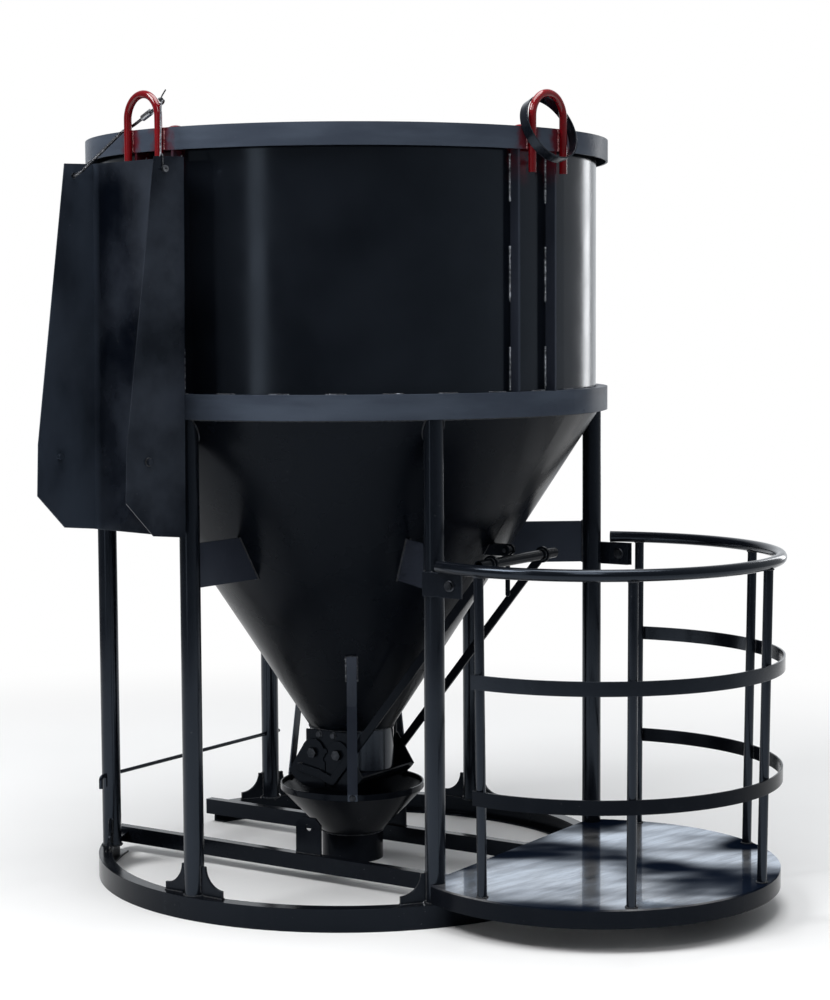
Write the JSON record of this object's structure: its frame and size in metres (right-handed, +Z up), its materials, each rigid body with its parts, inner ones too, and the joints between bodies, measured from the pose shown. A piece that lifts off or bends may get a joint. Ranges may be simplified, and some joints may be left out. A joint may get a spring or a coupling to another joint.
{
  "type": "concrete bucket",
  "caption": "Crane-lifted concrete bucket: round barrel on a cone, tube legs on a base ring, lever-worked jaw gate, catch funnel, operator's cradle and a hung-up pouring chute.",
  "frame": {"origin": "on the barrel's axis at ground level, in the plane of the base ring's underside", "axes": "+Z up along the barrel's axis, +X towards the cradle, -Y towards the side the chute hangs on"},
  "size_m": [2.1825, 1.8303, 2.305],
  "materials": {
    "black_paint": "semi-gloss black paint on steel plate",
    "gloss_paint": "glossy black paint",
    "red_paint": "dark red paint",
    "bolt_steel": "plain steel, dulled",
    "wire": "galvanised steel wire rope"
  },
  "bodies": {
    "frame": {"barrel": "black_paint", "rim_hoop": "black_paint", "girth_hoop": "black_paint", "cone": "black_paint", "neck": "black_paint", "lug_ribs": "black_paint", "leg_cradle_near": "black_paint", "leg_cradle_far": "black_paint", "leg_mid_near": "black_paint", "leg_mid_far": "black_paint", "leg_pour_near": "black_paint", "leg_pour_far": "black_paint", "base_ring": "black_paint", "rail_near": "black_paint", "rail_far": "black_paint", "tie_plates": "black_paint", "foot_gussets": "black_paint", "chute_bracket_near": "black_paint", "chute_bracket_far": "black_paint", "funnel_bowl": "black_paint", "funnel_outlet": "black_paint", "funnel_strap_near": "black_paint", "funnel_strap_far": "black_paint", "funnel_strap_pour": "black_paint", "gate_hanger_near": "black_paint", "gate_hanger_far": "black_paint", "catch_bracket": "black_paint", "cradle_band": "black_paint", "cradle_rail": "black_paint", "cradle_hoop_upper": "black_paint", "cradle_hoop_lower": "black_paint", "cradle_posts": "black_paint", "leg_tab_near": "black_paint", "leg_tab_far": "black_paint", "cradle_tabs": "black_paint", "cradle_floor": "gloss_paint", "lug_cradle": "red_paint", "lug_near": "red_paint", "lug_pour": "red_paint", "lug_far": "red_paint", "strap_bolts": "bolt_steel", "hanger_bolts": "bolt_steel", "gate_pivots": "bolt_steel", "catch_pin": "bolt_steel", "cradle_bolts": "bolt_steel"},
    "gate_pour": {"jaw_pour_pan": "black_paint", "jaw_pour_plates": "black_paint", "lever_arm_near": "black_paint", "lever_arm_far": "black_paint", "lever_handle": "black_paint"},
    "gate_cradle": {"jaw_cradle_pan": "black_paint", "jaw_cradle_plates": "black_paint"},
    "lever_catch": {"catch_bar": "black_paint"},
    "band_ring": {"lug_ring": "black_paint"},
    "chute": {"chute_trough": "black_paint", "chute_pins": "black_paint", "sling": "wire", "sling_ferrules": "bolt_steel"},
    "rod": {"sling_rod": "black_paint"}
  },
  "joints": [
    {"name": "gate_open", "type": "hinge", "parent": "frame", "child": "gate_pour", "pos_m": [-0.045, 0, 0.368], "axis": [0, 1, 0], "range_deg": [0, 40]},
    {"name": "gate_follow", "type": "hinge", "parent": "frame", "child": "gate_cradle", "pos_m": [0.045, 0, 0.368], "axis": [0, 1, 0], "range_deg": [-40, 0]},
    {"name": "catch_swing", "type": "hinge", "parent": "frame", "child": "lever_catch", "pos_m": [0.55779, 0, 1.003], "axis": [0, 1, 0], "range_deg": [-10, 40]},
    {"name": "ring_lift", "type": "slide", "parent": "frame", "child": "band_ring", "axis": [0, 0, 1], "range_m": [0, 0.12]},
    {"name": "chute_swing", "type": "hinge", "parent": "frame", "child": "chute", "pos_m": [-0.1407, -0.75916, 2.24], "axis": [-0.9056, 0.1679, -0.3894], "range_deg": [0, 20]},
    {"name": "rod_pull", "type": "slide", "parent": "frame", "child": "rod", "axis": [0, -1, 0], "range_m": [0, 0.8]}
  ],
  "couplings": [
    {"joint": "gate_follow", "follows": "gate_open", "ratio": -1}
  ]
}
